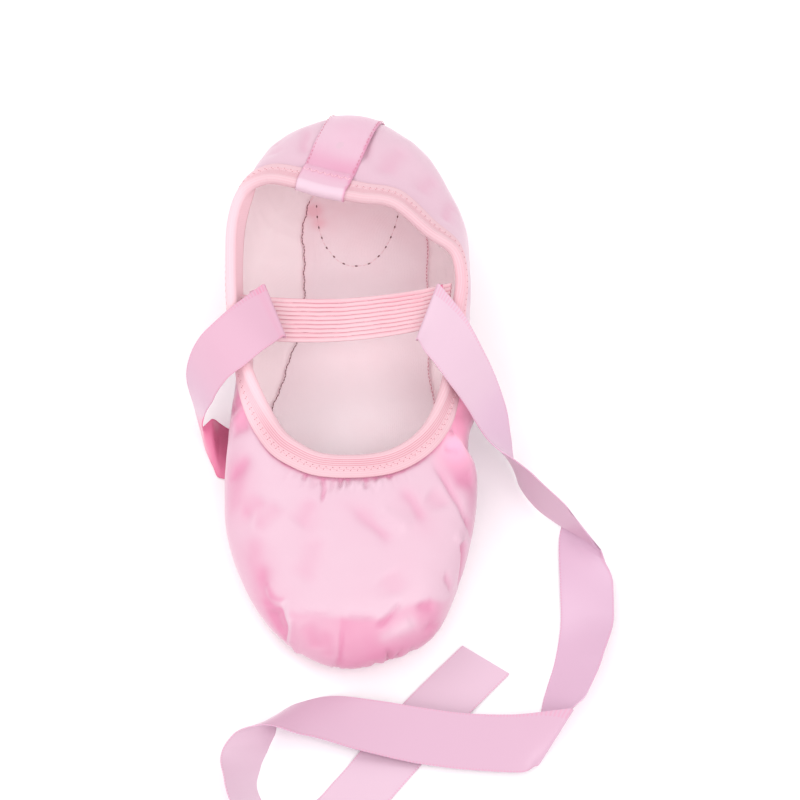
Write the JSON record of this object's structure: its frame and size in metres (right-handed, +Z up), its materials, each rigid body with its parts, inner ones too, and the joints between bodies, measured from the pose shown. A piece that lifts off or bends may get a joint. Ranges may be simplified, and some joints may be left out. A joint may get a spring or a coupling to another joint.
{
  "type": "ballet flat",
  "caption": "Soft pink satin split-sole ballet flat with elastic collar binding, ribbed instep strap and two long ribbons.",
  "frame": {"origin": "on the floor under the middle of the shoe, at the bottom centre of its box without the ribbons", "axes": "+Z up, +Y from the toe to the heel, +X to the right of someone who faces the toe from the front"},
  "size_m": [0.154, 0.2948, 0.0574],
  "materials": {
    "satin": "satin sheen",
    "tab_satin": "satin sheen",
    "insole_cloth": "matt brushed cloth",
    "suede": "matt suede",
    "binding_elastic": "matt ribbed elastic",
    "strap_elastic": "matt ribbed elastic",
    "ribbon_satin": "satin sheen"
  },
  "bodies": {
    "root": {"upper": "satin", "back_tab": "tab_satin", "insole": "insole_cloth", "sole_forefoot": "suede", "sole_heel": "suede", "collar_binding": "binding_elastic", "instep_strap": "strap_elastic", "ribbon_right": "ribbon_satin", "ribbon_left": "ribbon_satin"}
  },
  "joints": []
}
